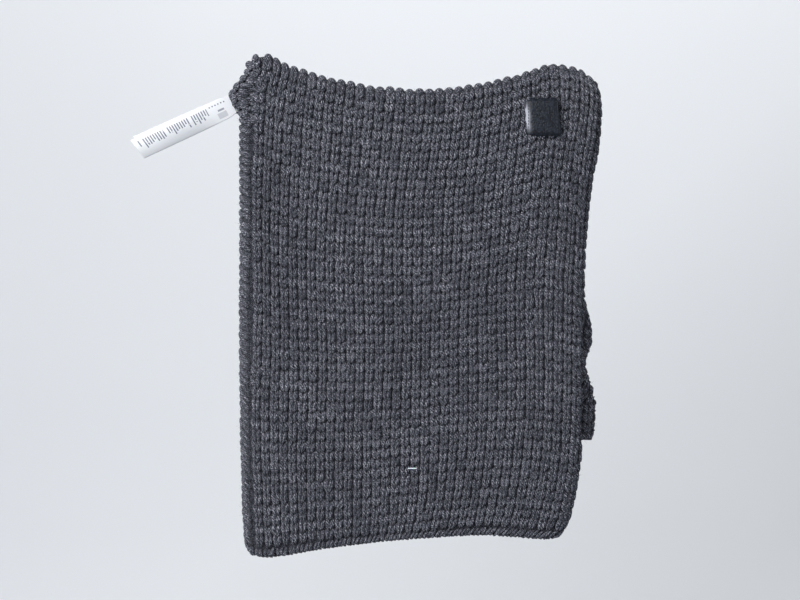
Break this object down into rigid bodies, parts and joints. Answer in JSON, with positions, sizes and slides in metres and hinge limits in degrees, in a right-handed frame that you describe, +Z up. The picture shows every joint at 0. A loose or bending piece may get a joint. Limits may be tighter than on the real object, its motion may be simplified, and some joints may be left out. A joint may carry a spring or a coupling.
{
  "type": "neck gaiter",
  "caption": "Thick ribbed wool tube worn round the neck, with a linked side seam, hem band, leather patch and care label, hung flat.",
  "frame": {"origin": "midway between the two clip grips at the top edge, at the middle of the folded tube's depth", "axes": "+Z up from hem to rim, +X from the side seam to the side fold, the front with the patch faces -Y"},
  "size_m": [0.4704, 0.0324, 0.5041],
  "materials": {
    "ribbed_knit": "charcoal melange wool-blend rib, matt and slightly hairy",
    "hem_knit": "the same yarn in a tighter edge band",
    "seam_yarn": "chained yarn",
    "patch_leather": "black grained leather, satin, with a blind-pressed border",
    "sewing_thread": "dark polyester sewing thread",
    "label_satin": "white woven satin tape with plain grey print bars",
    "clear_plastic": "translucent white nylon"
  },
  "bodies": {
    "gaiter": {"knit_tube": "ribbed_knit", "hem_band": "hem_knit", "side_seam_chain": "seam_yarn", "leather_patch": "patch_leather", "patch_stitching": "sewing_thread", "label_bartack": "sewing_thread"},
    "care_label": {"care_label_front_leaf": "label_satin", "care_label_back_leaf": "label_satin"},
    "tag_fastener": {"tag_fastener": "clear_plastic"}
  },
  "joints": [
    {"name": "label_swing", "type": "hinge", "parent": "gaiter", "child": "care_label", "pos_m": [-0.1864, 0, -0.0349], "axis": [-0.4147, 0, 0.91], "range_deg": [-75, 75]},
    {"name": "fastener_slide", "type": "slide", "parent": "gaiter", "child": "tag_fastener", "axis": [0, -1, 0], "range_m": [0, 0.0045]}
  ]
}
